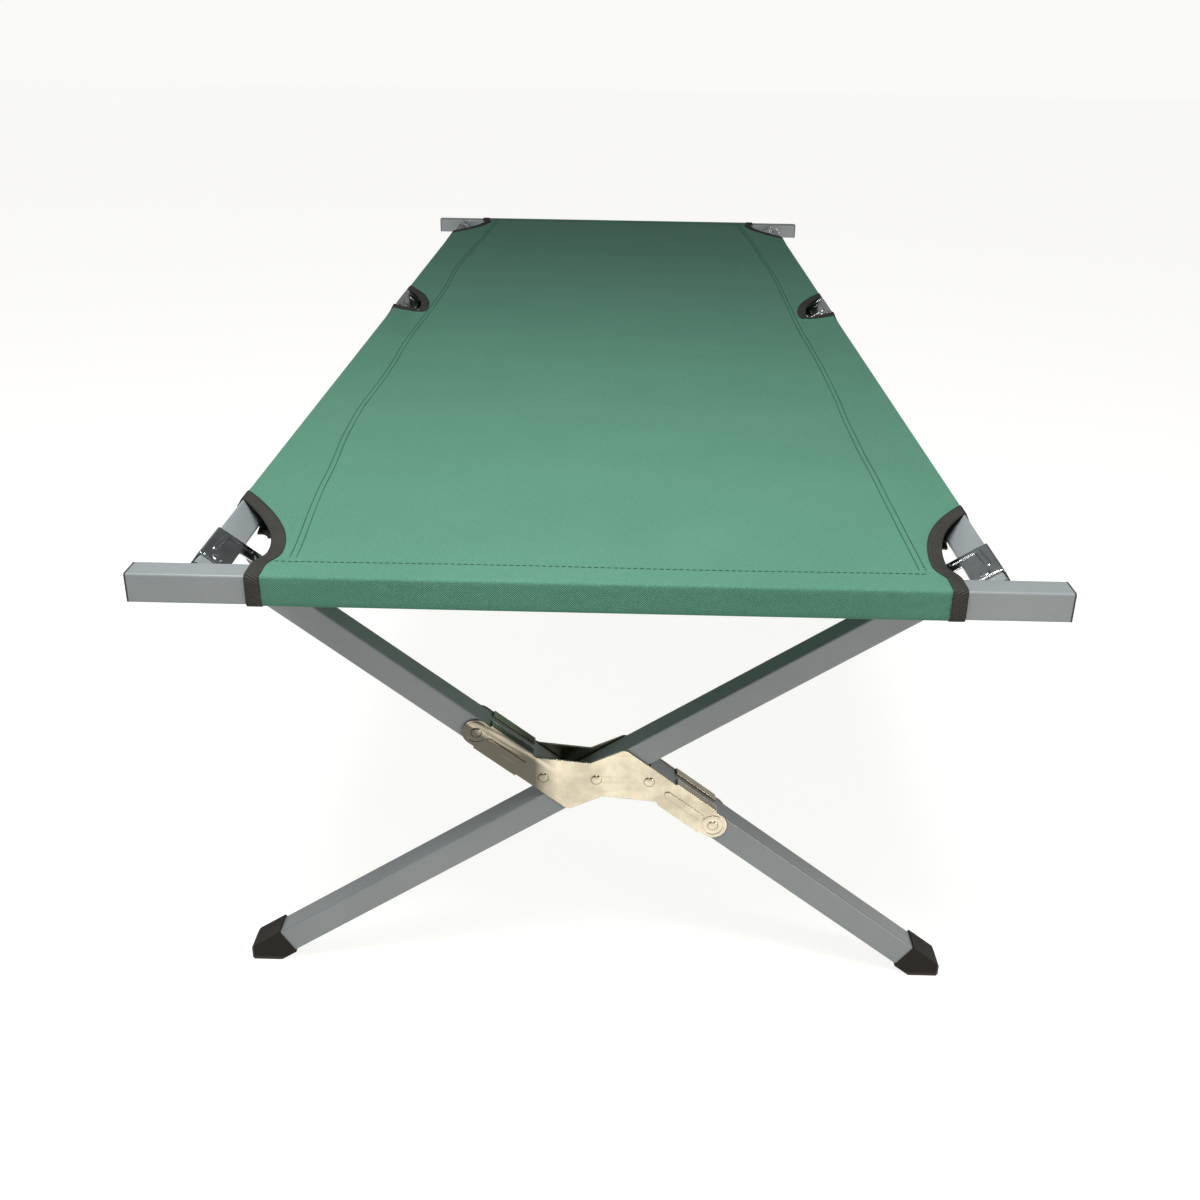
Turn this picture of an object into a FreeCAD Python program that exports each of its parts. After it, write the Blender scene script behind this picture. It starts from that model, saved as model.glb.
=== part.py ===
import FreeCAD
import Part
import math
import os

from FreeCAD import Vector

# A folding cot: a cloth cover stretched over two side rails and two end bars,
# on three pairs of crossed legs.
# X runs across the cot, Y along it from front to rear, Z up from the floor. All sizes are in mm.
# The right rail and the straight legs lie in one slanted plane, and the left rail
# and the cranked legs in another.
# The frame closes like scissors about the line through the three crossings.

# ---- overall sizes ----
length = 1900.0  # over the two end bars
bar_top = 437.5  # top face of the end bars above the floor
rail_spread = 640.0  # between the rails' centre lines
bar_overhang = 50.0  # end bars, with their plugs, beyond the rails' centre lines
leg_slope = 33.0  # straight legs from the floor, in degrees

# ---- tube ----
tube = 25.0
tube_wall = 1.2
tube_corner = 2.0

# ---- where the legs stand ----
front_leg_inset = 89.0  # end face of the front bar to the front legs' centre
rear_leg_inset = 75.0  # end face of the rear bar to the rear legs' centre
mid_leg_y = 103.0
crossing_gap = 3.0  # between the faces of two crossed legs once they lie parallel

# ---- sheet metal and rivets ----
sheet = 1.5
plate_play = 0.2  # between a cross plate and the legs that it holds
bracket_play = 0.5  # between a bracket and the rail and leg inside it
pin_clearance = 0.05  # round every rivet and stud
loop_play = 2.4  # round the top pivot of the end cranked legs
swing_gap = 2.0  # between a rail and the rivet heads of a crossing laid along it
rail_rivet_radius = 3.0
rail_head_radius = 4.8
leg_pivot_radius = 3.5
leg_pivot_head_radius = 6.5
cross_rivet_radius = 3.0
cross_head_radius = 5.0
head_height = 1.3
emboss = 0.8  # height of the ribs pressed into the sheet metal
rib_width = 4.0

# ---- brackets, measured from the leg's centre line along the rail ----
bracket_inner = 8.5  # beyond the leg, towards the middle of the cot
bracket_end_gap = 14.0  # from a corner bracket to the rail's end
bracket_rivet_inset = 7.5
bracket_arm = 9.5  # half the width of the arm that holds the leg
mid_bracket_front = 36.0
mid_bracket_rear = 62.0
mid_rivet_inset = 20.0
rail_joint_gap = 3.0
arm_rib_start = 11.0  # from the leg's pivot
rib_to_rivet = 12.0  # from a corner bracket's long rib to the rivet's centre
rib_off_leg = 3.0  # ribs from the leg's centre line
rib_off_rail = 4.0  # ribs from the rail's centre line
mid_rib_off_rail = 8.0
mid_rib_width = 3.0
edge_rib_inset = 1.5  # rib along the bracket's free edge
edge_rib_width = 2.0
edge_rib_clearance = 3.0  # from that rib's ends to the rail's faces

# ---- cross plates, measured from the crossing along the cranked leg ----
near_rivet_inset = 8.0  # from the inner end of each half of a cranked leg
far_rivet = 113.0
shoulder = 56.0  # where the wing meets the middle of the plate
waist_along = 15.0
waist_across = 10.0
half_leg_gap = 2.6  # along the cranked leg, from the straight leg's face to each half
flange_start = 60.0
flange_end = 106.0
flange_depth = 8.0
plate_corner = 6.0
middle_edge = 1.0  # where the middle of the plate meets the wing's outer edge, past the crossing
ring_inset = 2.0  # pressed ring round a far rivet, from the wing's edge
ring_width = 1.5
ridge_width = 6.0

# ---- feet ----
foot_wall = 1.2
foot_flat = 29.0  # length of the face on the floor
foot_grip = 14.4  # how far the foot covers the tube
floor_gap = 5.0  # along the leg, between the tube's lowest edge and the floor
foot_chamfer = 2.5

# ---- rail plugs, studs and bar plugs ----
plug_flange = 3.0
plug_depth = 15.0
plug_play = 0.15
stud_radius = 5.0
stud_length = 20.0
stud_chamfer = 1.0
bar_plug_flange = 1.5
bar_plug_depth = 20.0

# ---- cloth cover ----
cloth = 0.8
cloth_play = 0.3
ridge_seam = 4.0  # width over which the panel is joined to each side sleeve
ridge_drop = 1.0  # rails' top edge below the bars' top face
corner_cut_start = 205.0  # from the cot's end to where a corner cutout leaves the rail
corner_cut_turn = 97.0  # from the cot's end to where it runs straight to the bar
corner_cut_depth = 40.0  # from the rail's centre line in to the end of the sleeve on the bar
cut_outset = 20.0  # from the rail's centre line out to where a cutout's edge starts
corner_bend_out = 0.32  # how far along the corner cutout's curve its middle point lies
corner_bend_along = 0.51
mid_cut_front = 68.0  # from the middle legs' centre
mid_cut_rear = 108.0
mid_cut_depth = 35.0
mid_cut_middle = -10.0

# ---- worked out from the sizes above ----
ORIGIN = Vector(0, 0, 0)
X_AXIS = Vector(1, 0, 0)
Y_AXIS = Vector(0, 1, 0)
Z_AXIS = Vector(0, 0, 1)

half = tube / 2
crank = tube + crossing_gap  # sideways step from each half of a cranked leg to the crossing
foot_half = half + foot_wall
cross_half = half + plate_play + sheet + head_height  # out to the heads of the rivets at a crossing
pivot_in = half + cross_half + swing_gap  # leg pivots, inside the rail's centre line
rail_x = rail_spread / 2
bar_length = rail_spread + 2 * bar_overhang
cover_on_bar = rail_x - corner_cut_depth  # half the length of bar inside the cover


def ridge_height(slope):
    """How far the top edge of a tube rolled to this slope stands above its centre line."""
    turned = math.sin(math.radians(slope)) + math.cos(math.radians(slope))
    return (half - tube_corner) * turned + tube_corner


rail_z = bar_top - ridge_drop - ridge_height(leg_slope)
crossing_z = rail_z - rail_x * math.tan(math.radians(leg_slope))
rail_to_crossing = rail_x / math.cos(math.radians(leg_slope))
crank_slope = leg_slope + math.degrees(math.asin(crank / rail_to_crossing))
crank_to_crossing = math.sqrt(rail_to_crossing**2 - crank**2)

bar_inner = length / 2 - tube
rail_end = bar_inner - plug_flange
leg_rows = {
    "front": front_leg_inset - length / 2,
    "mid": mid_leg_y,
    "rear": length / 2 - rear_leg_inset,
}
slopes = {"right": leg_slope, "left": crank_slope}
rail_top = rail_z + max(ridge_height(slope) for slope in slopes.values())
legs_angle = math.radians(leg_slope + crank_slope)
half_leg_start = ((crank + half) * math.cos(legs_angle) + half) / math.sin(legs_angle) + half_leg_gap
near_rivet = half_leg_start + near_rivet_inset


# ---- basic shapes ----


def box(x0, x1, y0, y1, z0, z1):
    return Part.makeBox(x1 - x0, y1 - y0, z1 - z0, Vector(x0, y0, z0))


def pin_up(x, y, radius, z0, z1):
    """A round pin along Z."""
    return Part.makeCylinder(radius, z1 - z0, Vector(x, y, z0), Z_AXIS)


def pin_across(x, z, radius, y0, y1):
    """A round pin along Y."""
    return Part.makeCylinder(radius, y1 - y0, Vector(x, y0, z), Y_AXIS)


def square_bar(x0, x1, size, corner):
    """A square bar along X with rounded long edges."""
    side = size / 2
    solid = box(x0, x1, -side, side, -side, side)
    long_edges = [edge for edge in solid.Edges if abs(edge.tangentAt(0).x) > 0.99]
    return solid.makeFillet(corner, long_edges)


def square_tube(x0, x1):
    outer = square_bar(x0, x1, tube, tube_corner)
    inner = square_bar(x0 - 1, x1 + 1, tube - 2 * tube_wall, tube_corner - tube_wall)
    return outer.cut(inner)


def along_y(shape):
    """Turns a piece drawn along X to run along Y."""
    turned = shape.copy()
    turned.rotate(ORIGIN, Z_AXIS, 90)
    return turned


def dome(radius, height):
    """A low round head on the plane Z = 0."""
    ball = (radius**2 + height**2) / (2 * height)
    sphere = Part.makeSphere(ball, Vector(0, 0, height - ball))
    return sphere.common(box(-ball, ball, -ball, ball, 0, height + 1))


def rivet(radius, head_radius, grip):
    """A rivet along Z, with a head at each end of the sheets that it holds."""
    shank = Part.makeCylinder(radius, grip, Vector(0, 0, -grip / 2))
    top = dome(head_radius, head_height)
    top.translate(Vector(0, 0, grip / 2))
    return shank.fuse([top, top.mirror(ORIGIN, Z_AXIS)]).removeSplitter()


def rib(start, end, width, height):
    """A round-ended rib on the plane Z = 0, between two points given as (x, y)."""
    run = Vector(end[0] - start[0], end[1] - start[1], 0)
    bar = box(0, run.Length, -width / 2, width / 2, 0, height)
    bar.rotate(ORIGIN, Z_AXIS, math.degrees(math.atan2(run.y, run.x)))
    bar.translate(Vector(start[0], start[1], 0))
    ends = [Part.makeCylinder(width / 2, height, Vector(x, y, 0)) for x, y in (start, end)]
    return bar.fuse(ends)


def lay(shape, side, y):
    """Puts a piece drawn in its slanted plane in place.

    In that plane X points outwards along the legs from the rail's centre line, Y runs along the cot
    and Z is square to the plane. The left side is the mirror of the right, at its own slope.
    """
    placed = shape.copy()
    placed.rotate(ORIGIN, Y_AXIS, -slopes[side])
    placed.translate(Vector(rail_x, y, rail_z))
    return placed.mirror(ORIGIN, X_AXIS) if side == "left" else placed


# ---- rails ----


def rail_rivet_rows():
    """Places along the cot of the rivets that hold the brackets to the rails."""
    corner = rail_end - bracket_end_gap - bracket_rivet_inset
    mid_front = mid_leg_y - mid_bracket_front + mid_rivet_inset
    mid_rear = mid_leg_y + mid_bracket_rear - mid_rivet_inset
    return [-corner, mid_front, mid_rear, corner]


def rail(side, row):
    joint = mid_leg_y + rail_joint_gap / 2
    span = (-rail_end, joint - rail_joint_gap) if row == "front" else (joint, rail_end)
    solid = along_y(square_tube(*span))
    for y in rail_rivet_rows():
        solid = solid.cut(pin_up(0, y, rail_rivet_radius + pin_clearance, -tube, tube))
    return lay(solid, side, 0)


def rail_plug(side, row):
    """A plug in the rail's end, with the stud that the end bar is pushed on."""
    size = tube - 2 * tube_wall - 2 * plug_play
    insert = square_bar(-plug_depth, 0, size, tube_corner - tube_wall)
    flange = square_bar(0, plug_flange, tube, tube_corner)
    stud = Part.makeCylinder(stud_radius, stud_length, Vector(plug_flange, 0, 0), X_AXIS)
    tip = [edge for edge in stud.Edges if edge.BoundBox.XMin > plug_flange + stud_length - 0.1]
    solid = along_y(insert.fuse([flange, stud.makeChamfer(stud_chamfer, tip)]).removeSplitter())
    solid.translate(Vector(0, rail_end, 0))
    return lay(solid if row == "rear" else solid.mirror(ORIGIN, Y_AXIS), side, 0)


# ---- brackets ----


def bracket(row):
    """A folded plate round the outside of the rail, with two arms that hold the top of a leg.

    It is drawn with the leg at Y = 0. A corner bracket runs from the leg towards the cot's end.
    """
    y_leg = leg_rows[row]
    if row == "mid":
        y0, y1 = -mid_bracket_front, mid_bracket_rear
        rivets = [y0 + mid_rivet_inset, y1 - mid_rivet_inset]
    else:
        y0, y1 = -bracket_inner, rail_end - bracket_end_gap - abs(y_leg)
        rivets = [y1 - bracket_rivet_inset]
    inside = half + bracket_play
    outside = inside + sheet
    arm_tip = -(pivot_in + bracket_inner)
    arm = (-bracket_arm, bracket_arm) if row == "mid" else (-bracket_inner, bracket_arm)

    body = box(-half, outside, y0, y1, -outside, outside)
    body = body.fuse(box(arm_tip, -half, arm[0], arm[1], -outside, outside)).removeSplitter()
    upright = [edge for edge in body.Edges if abs(edge.tangentAt(0).z) > 0.99]
    outer_long = [
        edge for edge in body.Edges
        if abs(edge.tangentAt(0).y) > 0.99 and edge.BoundBox.XMin > outside - 0.1
    ]
    tips = [edge for edge in upright if edge.BoundBox.XMin < arm_tip + 0.1]
    body = body.makeFillet(tube_corner, outer_long + tips)
    body = body.cut(box(arm_tip - 1, inside, y0 - 1, y1 + 1, -inside, inside))
    body = body.cut(pin_up(-pivot_in, 0, leg_pivot_radius + pin_clearance, -tube, tube))
    for y in rivets:
        body = body.cut(pin_up(0, y, rail_rivet_radius + pin_clearance, -tube, tube))

    bend = (rib_off_rail, -rib_off_leg)
    ribs = [rib((arm_rib_start - pivot_in, -rib_off_leg), bend, rib_width, emboss)]
    if row == "mid":
        across = mid_rib_off_rail
        ribs.append(rib((across, y0 + across), (across, y1 - across), mid_rib_width, emboss))
    else:
        ribs.append(rib(bend, (rib_off_rail + rib_width / 2, rivets[0] - rib_to_rivet), rib_width, emboss))
    reach = half - edge_rib_clearance
    edge_y = y1 - edge_rib_inset
    ribs.append(rib((-reach, edge_y), (reach, edge_y), edge_rib_width, emboss))
    for piece in ribs:
        piece.translate(Vector(0, 0, outside))
    return body.fuse(ribs).removeSplitter()


def placed_bracket(side, row):
    solid = bracket(row)
    if row == "front":
        solid = solid.mirror(ORIGIN, Y_AXIS)
    return lay(solid, side, leg_rows[row])


def bracket_rivets(side):
    grip = tube + 2 * (bracket_play + sheet)
    solids = []
    for y in rail_rivet_rows():
        solids.append(lay(rivet(rail_rivet_radius, rail_head_radius, grip), side, y))
    return Part.makeCompound(solids)


def leg_pivot(side, row):
    grip = tube + 2 * (bracket_play + sheet)
    solid = rivet(leg_pivot_radius, leg_pivot_head_radius, grip)
    solid.translate(Vector(-pivot_in, 0, 0))
    return lay(solid, side, leg_rows[row])


# ---- legs ----


def leg_end(slope, offset):
    """Where a tube stops, measured along the leg from the crossing.

    offset is the tube's centre line above the line through the crossing.
    """
    angle = math.radians(slope)
    floor = (crossing_z + (offset - half) * math.cos(angle)) / math.sin(angle)
    return floor - floor_gap


def with_round_top(solid, low):
    """Rounds a leg's top end about its pivot, so that it swings clear of the rail."""
    keep = box(low, -pivot_in, -tube, tube, -tube, tube)
    return solid.common(keep.fuse(pin_up(-pivot_in, 0, half, -tube, tube)))


def straight_leg(row):
    low = -(rail_to_crossing + leg_end(leg_slope, 0))
    solid = with_round_top(square_tube(low, half - pivot_in), low)
    solid = solid.cut(pin_up(-pivot_in, 0, leg_pivot_radius + pin_clearance, -tube, tube))
    hole = pin_across(-rail_to_crossing, 0, cross_rivet_radius + pin_clearance, -tube, tube)
    return lay(solid.cut(hole), "right", leg_rows[row])


def plate_rivet_holes(solid):
    """Cuts the four rivet holes of a cross plate, drawn with the crossing at the origin."""
    for along in (near_rivet, far_rivet):
        for turn in (1, -1):
            radius = cross_rivet_radius + pin_clearance
            solid = solid.cut(pin_across(turn * along, -turn * crank, radius, -tube, tube))
    return solid


def from_crossing(shape, row):
    """Puts a piece drawn about the crossing, along the cranked leg, in place.

    X points up along the leg to the left rail and Z up, square to the leg.
    """
    moved = shape.copy()
    moved.translate(Vector(-crank_to_crossing, 0, crank))
    return lay(moved, "left", leg_rows[row])


def cranked_upper(row):
    """The half of a cranked leg from the left rail down to the crossing."""
    low = half_leg_start - crank_to_crossing
    solid = with_round_top(square_tube(low, half - pivot_in), low)
    play = pin_clearance if row == "mid" else loop_play
    solid = solid.cut(pin_up(-pivot_in, 0, leg_pivot_radius + play, -tube, tube))
    solid.translate(Vector(crank_to_crossing, 0, -crank))
    return from_crossing(plate_rivet_holes(solid), row)


def cranked_lower(row):
    """The half of a cranked leg from the crossing down to the right foot."""
    solid = square_tube(-leg_end(crank_slope, crank), -half_leg_start)
    solid.translate(Vector(0, 0, crank))
    return from_crossing(plate_rivet_holes(solid), row)


# ---- feet ----


def foot(side, row):
    """A plastic foot with its sole flat on the floor and its tip cut upright."""
    slope = slopes[side]
    offset = 0 if side == "right" else crank
    angle = math.radians(slope)
    down = Vector(-math.cos(angle), 0, -math.sin(angle))
    up = Vector(-math.sin(angle), 0, math.cos(angle))
    start = Vector(0, 0, crossing_z) + up * offset
    end = leg_end(slope, offset)
    mouth = start + down * (end - foot_grip)
    reach = (mouth.z - foot_half * math.cos(angle)) / math.sin(angle)
    heel = mouth - up * foot_half + down * reach
    tip = Vector(heel.x - foot_flat, 0, 0)
    crown = mouth + up * foot_half
    brow = crown + down * ((crown.x - tip.x) / math.cos(angle))
    corners = [mouth - up * foot_half, heel, tip, brow, crown]
    profile = Part.makePolygon(corners + corners[:1])
    solid = Part.Face(profile).extrude(Vector(0, 2 * foot_half, 0))
    solid.translate(Vector(0, -foot_half, 0))
    tip_edges = [
        edge for edge in solid.Edges
        if edge.BoundBox.XMax < tip.x + 0.1 and edge.BoundBox.ZMax > 0.1
    ]
    solid = solid.makeChamfer(foot_chamfer, tip_edges)
    socket = square_bar(-end, 0, tube, tube_corner)
    socket.rotate(ORIGIN, Y_AXIS, -slope)
    socket.translate(start)
    solid = solid.cut(socket)
    solid.translate(Vector(0, leg_rows[row], 0))
    return solid.mirror(ORIGIN, X_AXIS) if side == "left" else solid


# ---- cross plates ----


def cross_plate(face):
    """A cranked plate that joins the halves of a cranked leg across the straight leg.

    It is drawn about the crossing. face is -1 for the plate at the front of the legs, 1 for the back.
    """
    wing = half + plate_play
    near, far = crank - wing, crank + wing
    top_side = [(far_rivet, -near), (shoulder, -near), (waist_along, waist_across), (-middle_edge, far)]
    outline = top_side + [(-far_rivet, far)] + [(-x, -z) for x, z in top_side] + [(far_rivet, -far)]
    corners = [Vector(x, 0, z) for x, z in outline]
    plate = Part.Face(Part.makePolygon(corners + corners[:1])).extrude(Vector(0, sheet, 0))
    rounded = [
        edge for edge in plate.Edges
        if abs(edge.tangentAt(0).y) > 0.99 and abs(edge.BoundBox.Center.x) < far_rivet - 1
    ]
    plate = plate.makeFillet(plate_corner, rounded)
    pieces = []
    for turn in (1, -1):
        pieces.append(pin_across(turn * far_rivet, -turn * crank, wing, 0, sheet))
        for edge in (-near, -far - sheet):
            flange = box(flange_start, flange_end, -flange_depth, sheet, edge, edge + sheet)
            pieces.append(flange if turn > 0 else flange.mirror(ORIGIN, X_AXIS).mirror(ORIGIN, Z_AXIS))
        ring_out = wing - ring_inset
        ring = pin_across(turn * far_rivet, -turn * crank, ring_out, sheet, sheet + emboss / 2)
        hollow = pin_across(turn * far_rivet, -turn * crank, ring_out - ring_width, 0, 2 * sheet)
        pieces.append(ring.cut(hollow))
        ridge_end = far_rivet - wing - ring_inset
        along = (turn * flange_start, turn * crank), (turn * ridge_end, turn * crank)
        ridge = rib(*along, ridge_width, emboss)
        ridge.rotate(ORIGIN, X_AXIS, -90)
        ridge.translate(Vector(0, sheet, 0))
        pieces.append(ridge)
    plate = plate.fuse(pieces).removeSplitter()
    plate.translate(Vector(0, wing, 0))
    if face < 0:
        plate = plate.mirror(ORIGIN, Y_AXIS)
    plate = plate.cut(pin_across(0, 0, cross_rivet_radius + pin_clearance, -tube, tube))
    return plate_rivet_holes(plate)


def cross_rivet(x, z):
    solid = rivet(cross_rivet_radius, cross_head_radius, tube + 2 * (plate_play + sheet))
    solid.rotate(ORIGIN, X_AXIS, 90)
    solid.translate(Vector(x, 0, z))
    return solid


def plate_rivets(row):
    places = [(turn * along, -turn * crank) for along in (near_rivet, far_rivet) for turn in (1, -1)]
    return Part.makeCompound([from_crossing(cross_rivet(x, z), row) for x, z in places])


# ---- end bars ----


def end_bar(row):
    """A square bar across the cot's end, with two holes that slide on the rails' studs."""
    reach = bar_length / 2 - bar_plug_flange
    solid = square_tube(-reach, reach)
    solid.translate(Vector(0, length / 2 - half, bar_top - half))
    for x in (-rail_x, rail_x):
        hole = pin_across(x, rail_z, stud_radius + pin_clearance, bar_inner - 1, bar_inner + half)
        solid = solid.cut(hole)
    return solid if row == "rear" else solid.mirror(ORIGIN, Y_AXIS)


def bar_plugs(row):
    size = tube - 2 * tube_wall - 2 * plug_play
    reach = bar_length / 2
    insert = square_bar(reach - bar_plug_flange - bar_plug_depth, reach - bar_plug_flange, size,
                        tube_corner - tube_wall)
    flange = square_bar(reach - bar_plug_flange, reach, tube, tube_corner)
    plug = insert.fuse(flange).removeSplitter()
    plug.translate(Vector(0, length / 2 - half, bar_top - half))
    pair = Part.makeCompound([plug, plug.mirror(ORIGIN, X_AXIS)])
    return pair if row == "rear" else pair.mirror(ORIGIN, Y_AXIS)


# ---- cover ----


def sleeve(reach):
    """A cloth tube along X round a square tube."""
    inner = tube + 2 * cloth_play
    outside = square_bar(-reach, reach, inner + 2 * cloth, tube_corner + cloth_play + cloth)
    return outside.cut(square_bar(-reach - 1, reach + 1, inner, tube_corner + cloth_play))


def cutout(points, x_out):
    """An upright block with a curved inner side, through the points given as (x, y)."""
    a, b, c = [Vector(x, y, 0) for x, y in points[:3]]
    edges = [Part.Arc(a, b, c).toShape()]
    path = [c] + [Vector(x, y, 0) for x, y in points[3:]]
    path += [Vector(x_out, path[-1].y, 0), Vector(x_out, a.y, 0), a]
    edges += [Part.makeLine(p, q) for p, q in zip(path, path[1:]) if (p - q).Length > 0.01]
    block = Part.Face(Part.Wire(edges)).extrude(Vector(0, 0, bar_top + tube))
    return block


def cover():
    """The cloth: a flat panel, with a sleeve along each side and each end, cut away at the brackets."""
    z0 = bar_top + cloth_play
    z1 = z0 + cloth
    edge = rail_x + half * (math.cos(math.radians(crank_slope)) - math.sin(math.radians(crank_slope)))
    panel_end = length / 2 - half
    solid = box(-edge, edge, -panel_end, panel_end, z0, z1)
    seam = box(edge - ridge_seam, edge, -rail_end, rail_end, rail_top + cloth_play, z1)
    sides = [lay(along_y(sleeve(rail_end)), side, 0) for side in ("right", "left")]
    ends = []
    for turn in (-1, 1):
        end = sleeve(cover_on_bar)
        end.translate(Vector(0, turn * (length / 2 - half), bar_top - half))
        ends.append(end)
    solid = solid.fuse(sides + ends + [seam, seam.mirror(ORIGIN, X_AXIS)]).removeSplitter()
    beyond = rail_x + tube
    start = length / 2 - corner_cut_start
    turn_y = length / 2 - corner_cut_turn
    start_x = rail_x + cut_outset
    bend_x = cover_on_bar + corner_bend_out * (start_x - cover_on_bar)
    bend = (bend_x, start + corner_bend_along * (turn_y - start))
    corner = cutout([(start_x, start), bend, (cover_on_bar, turn_y), (cover_on_bar, length)], beyond + tube)
    deepest = (rail_x - mid_cut_depth, mid_leg_y + mid_cut_middle)
    middle = cutout([(start_x, mid_leg_y - mid_cut_front), deepest,
                     (start_x, mid_leg_y + mid_cut_rear)], beyond + tube)
    cuts = [middle, middle.mirror(ORIGIN, X_AXIS)]
    for piece in (corner, corner.mirror(ORIGIN, X_AXIS)):
        cuts += [piece, piece.mirror(ORIGIN, Y_AXIS)]
    return solid.cut(cuts)


# ---- the whole cot ----


def build():
    nodes = {"cover": cover()}
    for side in ("right", "left"):
        for row in ("front", "rear"):
            nodes[f"{side}_rail_{row}"] = rail(side, row)
            nodes[f"{side}_{row}_rail_plug"] = rail_plug(side, row)
        for row in leg_rows:
            nodes[f"{side}_{row}_bracket"] = placed_bracket(side, row)
            nodes[f"{side}_{row}_leg_pivot"] = leg_pivot(side, row)
            nodes[f"{side}_{row}_foot"] = foot("left" if side == "right" else "right", row)
        nodes[f"{side}_bracket_rivets"] = bracket_rivets(side)
    for row in leg_rows:
        nodes[f"{row}_straight_leg"] = straight_leg(row)
        nodes[f"{row}_cranked_leg_upper"] = cranked_upper(row)
        nodes[f"{row}_cranked_leg_lower"] = cranked_lower(row)
        nodes[f"{row}_cross_plate_front"] = from_crossing(cross_plate(-1), row)
        nodes[f"{row}_cross_plate_back"] = from_crossing(cross_plate(1), row)
        nodes[f"{row}_centre_rivet"] = from_crossing(cross_rivet(0, 0), row)
        nodes[f"{row}_plate_rivets"] = plate_rivets(row)
    for row in ("front", "rear"):
        nodes[f"{row}_bar"] = end_bar(row)
        nodes[f"{row}_bar_plugs"] = bar_plugs(row)
    return nodes


os.makedirs("parts", exist_ok=True)
for name, shape in build().items():
    shape.exportStep(f"parts/{name}.step")
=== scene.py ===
import math

import bpy
import numpy as np
from mathutils import Matrix, Vector


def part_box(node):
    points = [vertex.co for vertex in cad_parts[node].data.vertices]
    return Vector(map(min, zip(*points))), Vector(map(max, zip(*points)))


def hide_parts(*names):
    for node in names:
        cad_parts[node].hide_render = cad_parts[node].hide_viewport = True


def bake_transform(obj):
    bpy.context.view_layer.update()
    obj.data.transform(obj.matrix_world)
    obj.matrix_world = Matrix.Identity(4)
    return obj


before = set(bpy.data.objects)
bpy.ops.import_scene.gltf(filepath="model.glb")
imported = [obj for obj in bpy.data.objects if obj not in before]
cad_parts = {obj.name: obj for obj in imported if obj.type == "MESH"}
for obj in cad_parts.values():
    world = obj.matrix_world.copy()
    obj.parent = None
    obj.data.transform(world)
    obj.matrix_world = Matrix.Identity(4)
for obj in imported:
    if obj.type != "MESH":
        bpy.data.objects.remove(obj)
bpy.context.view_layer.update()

view_place = Vector((0.0147, -1.8761, 0.8438))
view_pitch = math.radians(24.40)
view_yaw = math.radians(-0.795)
view_roll = math.radians(0.915)

ahead = Vector((math.sin(view_yaw), math.cos(view_yaw), 0))
beside = Vector((math.cos(view_yaw), -math.sin(view_yaw), 0))
forward = ahead * math.cos(view_pitch) - Vector((0, 0, 1)) * math.sin(view_pitch)
upward = Vector((0, 0, 1)) * math.cos(view_pitch) + ahead * math.sin(view_pitch)
right_hand = beside * math.cos(view_roll) + upward * math.sin(view_roll)
upward = upward * math.cos(view_roll) - beside * math.sin(view_roll)
lens = bpy.data.cameras.new("view")
lens.lens = 39.15
lens.sensor_width = 36.0
lens.clip_end = 60
camera = bpy.data.objects.new("view", lens)
bpy.context.scene.collection.objects.link(camera)
turn = Matrix((right_hand, upward, -forward)).transposed()
camera.matrix_world = Matrix.Translation(view_place) @ turn.to_4x4()
bpy.context.scene.camera = camera
bpy.context.scene.view_settings.view_transform = "Standard"

# ---- painted tubes ----
# Rails, legs and end bars are 25 mm square steel tube, sprayed blue-grey and baked to a satin skin.
# The skin has a fine orange peel and a slightly cloudy tone.
paint_colour = (0.146, 0.163, 0.166, 1)
paint_light = (0.170, 0.187, 0.190, 1)
paint_peel = 900.0
paint_cloud = 7.0


def add_node(tree, kind, values=(), **settings):
    """Adds a shader node, with values for its inputs given by name or number."""
    node = tree.nodes.new(kind)
    for name, value in settings.items():
        setattr(node, name, value)
    for name, value in dict(values).items():
        if isinstance(value, bpy.types.NodeSocket):
            tree.links.new(value, node.inputs[name])
        else:
            node.inputs[name].default_value = value
    return node


def new_finish(name, **constants):
    """A new material with its Principled BSDF, whose constant sockets are set straight away."""
    finish = bpy.data.materials.new(name)
    finish.use_nodes = True
    finish.node_tree.nodes.clear()
    shader = add_node(finish.node_tree, "ShaderNodeBsdfPrincipled")
    for socket, value in constants.items():
        shader.inputs[socket.replace("_", " ")].default_value = value
    out = add_node(finish.node_tree, "ShaderNodeOutputMaterial")
    finish.node_tree.links.new(shader.outputs["BSDF"], out.inputs["Surface"])
    return finish, finish.node_tree, shader


def new_effect(name, inputs, outputs):
    """A node group with number or vector inputs and outputs, given as (name, kind, value)."""
    effect = bpy.data.node_groups.new(name, "ShaderNodeTree")
    for label, kind, value in inputs:
        socket = effect.interface.new_socket(label, in_out="INPUT", socket_type=kind)
        if value is not None:
            socket.default_value = value
    for label, kind in outputs:
        effect.interface.new_socket(label, in_out="OUTPUT", socket_type=kind)
    into = effect.nodes.new("NodeGroupInput")
    out = effect.nodes.new("NodeGroupOutput")
    return effect, into.outputs, out.inputs


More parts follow.
